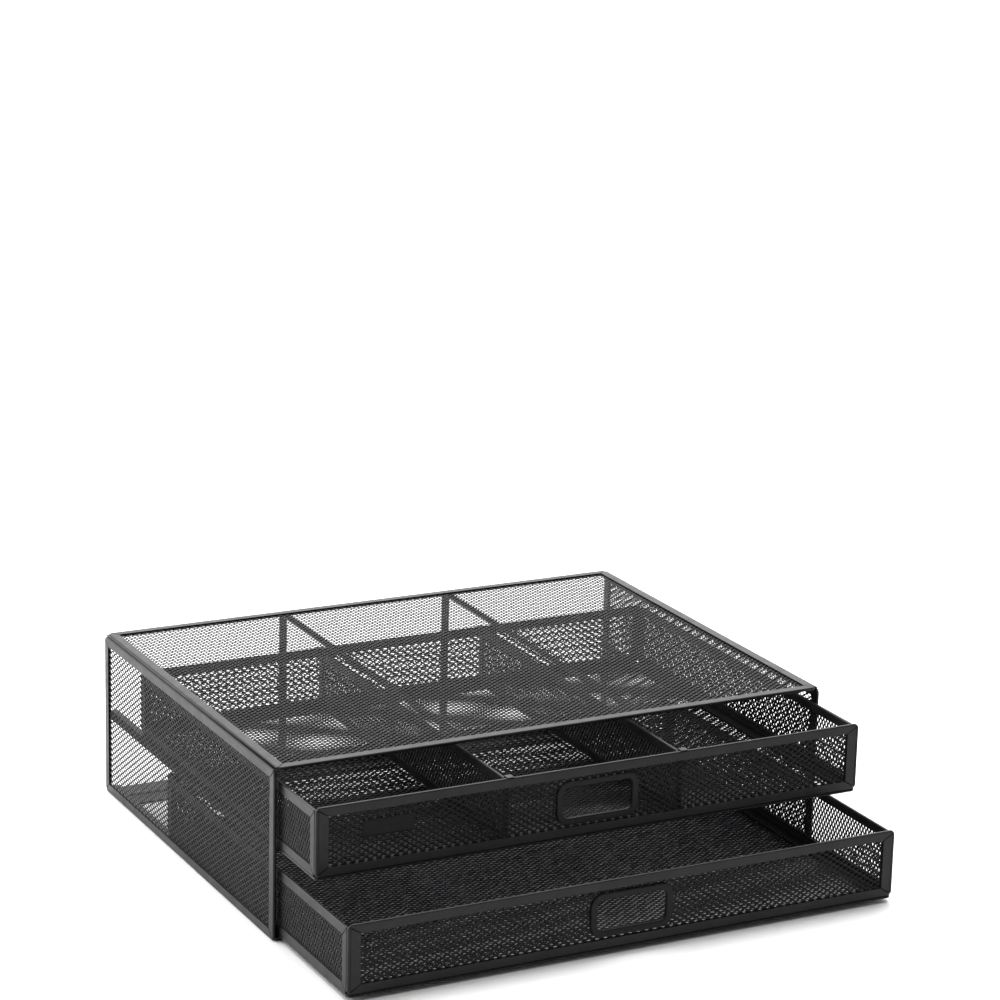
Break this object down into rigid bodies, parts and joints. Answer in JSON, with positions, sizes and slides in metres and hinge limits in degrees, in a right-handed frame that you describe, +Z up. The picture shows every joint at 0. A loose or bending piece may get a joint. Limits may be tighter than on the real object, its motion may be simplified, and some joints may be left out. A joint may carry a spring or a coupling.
{
  "type": "monitor riser stand",
  "caption": "Raised platform of black expanded metal for a computer screen, open at the back, with shallow mesh drawers that slide out of the front.",
  "frame": {"origin": "on the desk, in the middle of the width and of the whole depth with the drawers standing open as at rest", "axes": "+X to the right seen from the front, +Y to the back, +Z up; the drawers open towards -Y"},
  "size_m": [0.42, 0.419, 0.1215],
  "materials": {
    "expanded_mesh": "black powder coat on expanded steel sheet, satin",
    "steel_hem": "black powder coat on folded steel strip, satin",
    "steel_strip": "black powder coat on flat steel strip, satin",
    "handle_ring": "black powder coat on a pressed steel ring, satin",
    "label_plate": "blank black enamelled plate"
  },
  "bodies": {
    "case": {"deck_mesh": "expanded_mesh", "deck_rim": "steel_hem", "left_side_mesh": "expanded_mesh", "left_side_rim": "steel_hem", "right_side_mesh": "expanded_mesh", "right_side_rim": "steel_hem", "left_base_runner": "steel_strip", "right_base_runner": "steel_strip", "left_mid_runner": "steel_strip", "right_mid_runner": "steel_strip", "left_deck_brace": "steel_strip", "right_deck_brace": "steel_strip", "left_rear_strap": "steel_strip", "right_rear_strap": "steel_strip", "rear_base_tie": "steel_strip"},
    "upper_drawer": {"upper_front_mesh": "expanded_mesh", "upper_front_rim": "steel_hem", "upper_back_mesh": "expanded_mesh", "upper_back_rim": "steel_hem", "upper_left_mesh": "expanded_mesh", "upper_left_rim": "steel_hem", "upper_right_mesh": "expanded_mesh", "upper_right_rim": "steel_hem", "upper_floor_mesh": "expanded_mesh", "upper_floor_rim": "steel_hem", "upper_handle": "handle_ring", "label_plate": "label_plate", "left_divider_mesh": "expanded_mesh", "left_divider_rim": "steel_hem", "right_divider_mesh": "expanded_mesh", "right_divider_rim": "steel_hem"},
    "lower_drawer": {"lower_front_mesh": "expanded_mesh", "lower_front_rim": "steel_hem", "lower_back_mesh": "expanded_mesh", "lower_back_rim": "steel_hem", "lower_left_mesh": "expanded_mesh", "lower_left_rim": "steel_hem", "lower_right_mesh": "expanded_mesh", "lower_right_rim": "steel_hem", "lower_floor_mesh": "expanded_mesh", "lower_floor_rim": "steel_hem", "lower_handle": "handle_ring"}
  },
  "joints": [
    {"name": "upper_drawer_slide", "type": "slide", "parent": "case", "child": "upper_drawer", "axis": [0, -1, 0], "range_m": [-0.0577, 0.1823]},
    {"name": "lower_drawer_slide", "type": "slide", "parent": "case", "child": "lower_drawer", "axis": [0, -1, 0], "range_m": [-0.1084, 0.1316]}
  ]
}
